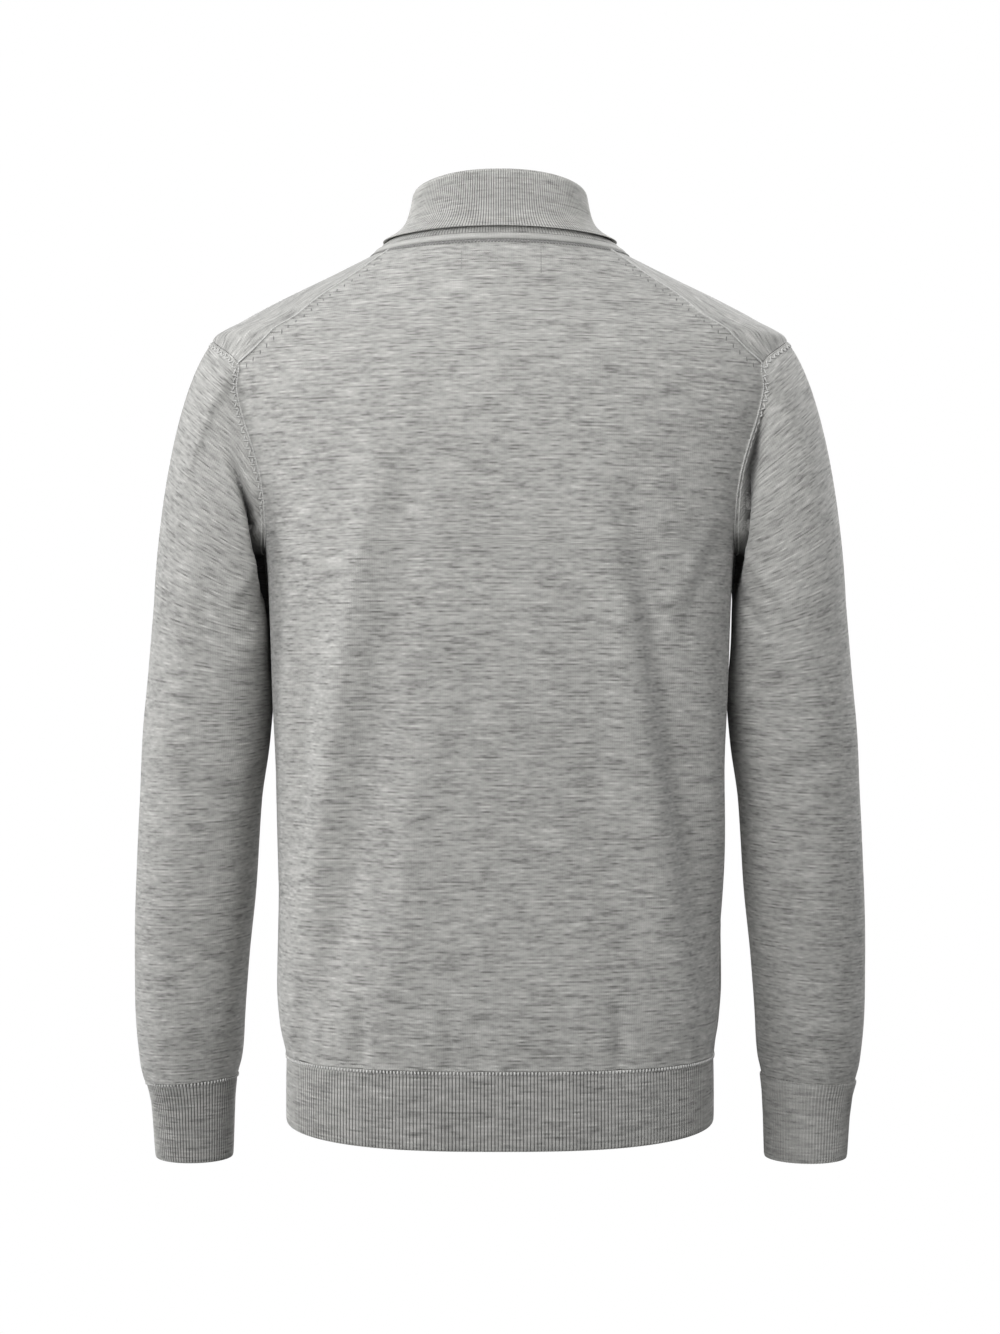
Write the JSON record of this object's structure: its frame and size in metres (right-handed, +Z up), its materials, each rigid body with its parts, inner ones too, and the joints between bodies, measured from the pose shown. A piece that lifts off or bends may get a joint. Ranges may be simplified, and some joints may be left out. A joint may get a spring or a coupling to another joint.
{
  "type": "turtleneck sweater",
  "caption": "Long-sleeved fine-knit turtleneck sweater in its worn hollow form, with a folded ribbed collar, ribbed hem and ribbed cuffs.",
  "frame": {"origin": "midway between the high points of the shoulders at the foot of the neck, where the wearer's shoulders carry the garment", "axes": "+Z up, -Y towards the front of the garment, +X towards the wearer's left"},
  "size_m": [0.5842, 0.2508, 0.7764],
  "materials": {
    "jersey": "fine wool jersey in a light grey melange",
    "rib": "fine wool rib in a light grey melange",
    "trim": "smooth knitted band in light grey"
  },
  "bodies": {
    "root": {"back": "jersey", "front": "jersey", "sleeve_left": "jersey", "sleeve_right": "jersey", "cuff_left": "rib", "cuff_right": "rib", "hem_rib": "rib", "collar": "rib", "neck_band": "trim"}
  },
  "joints": []
}
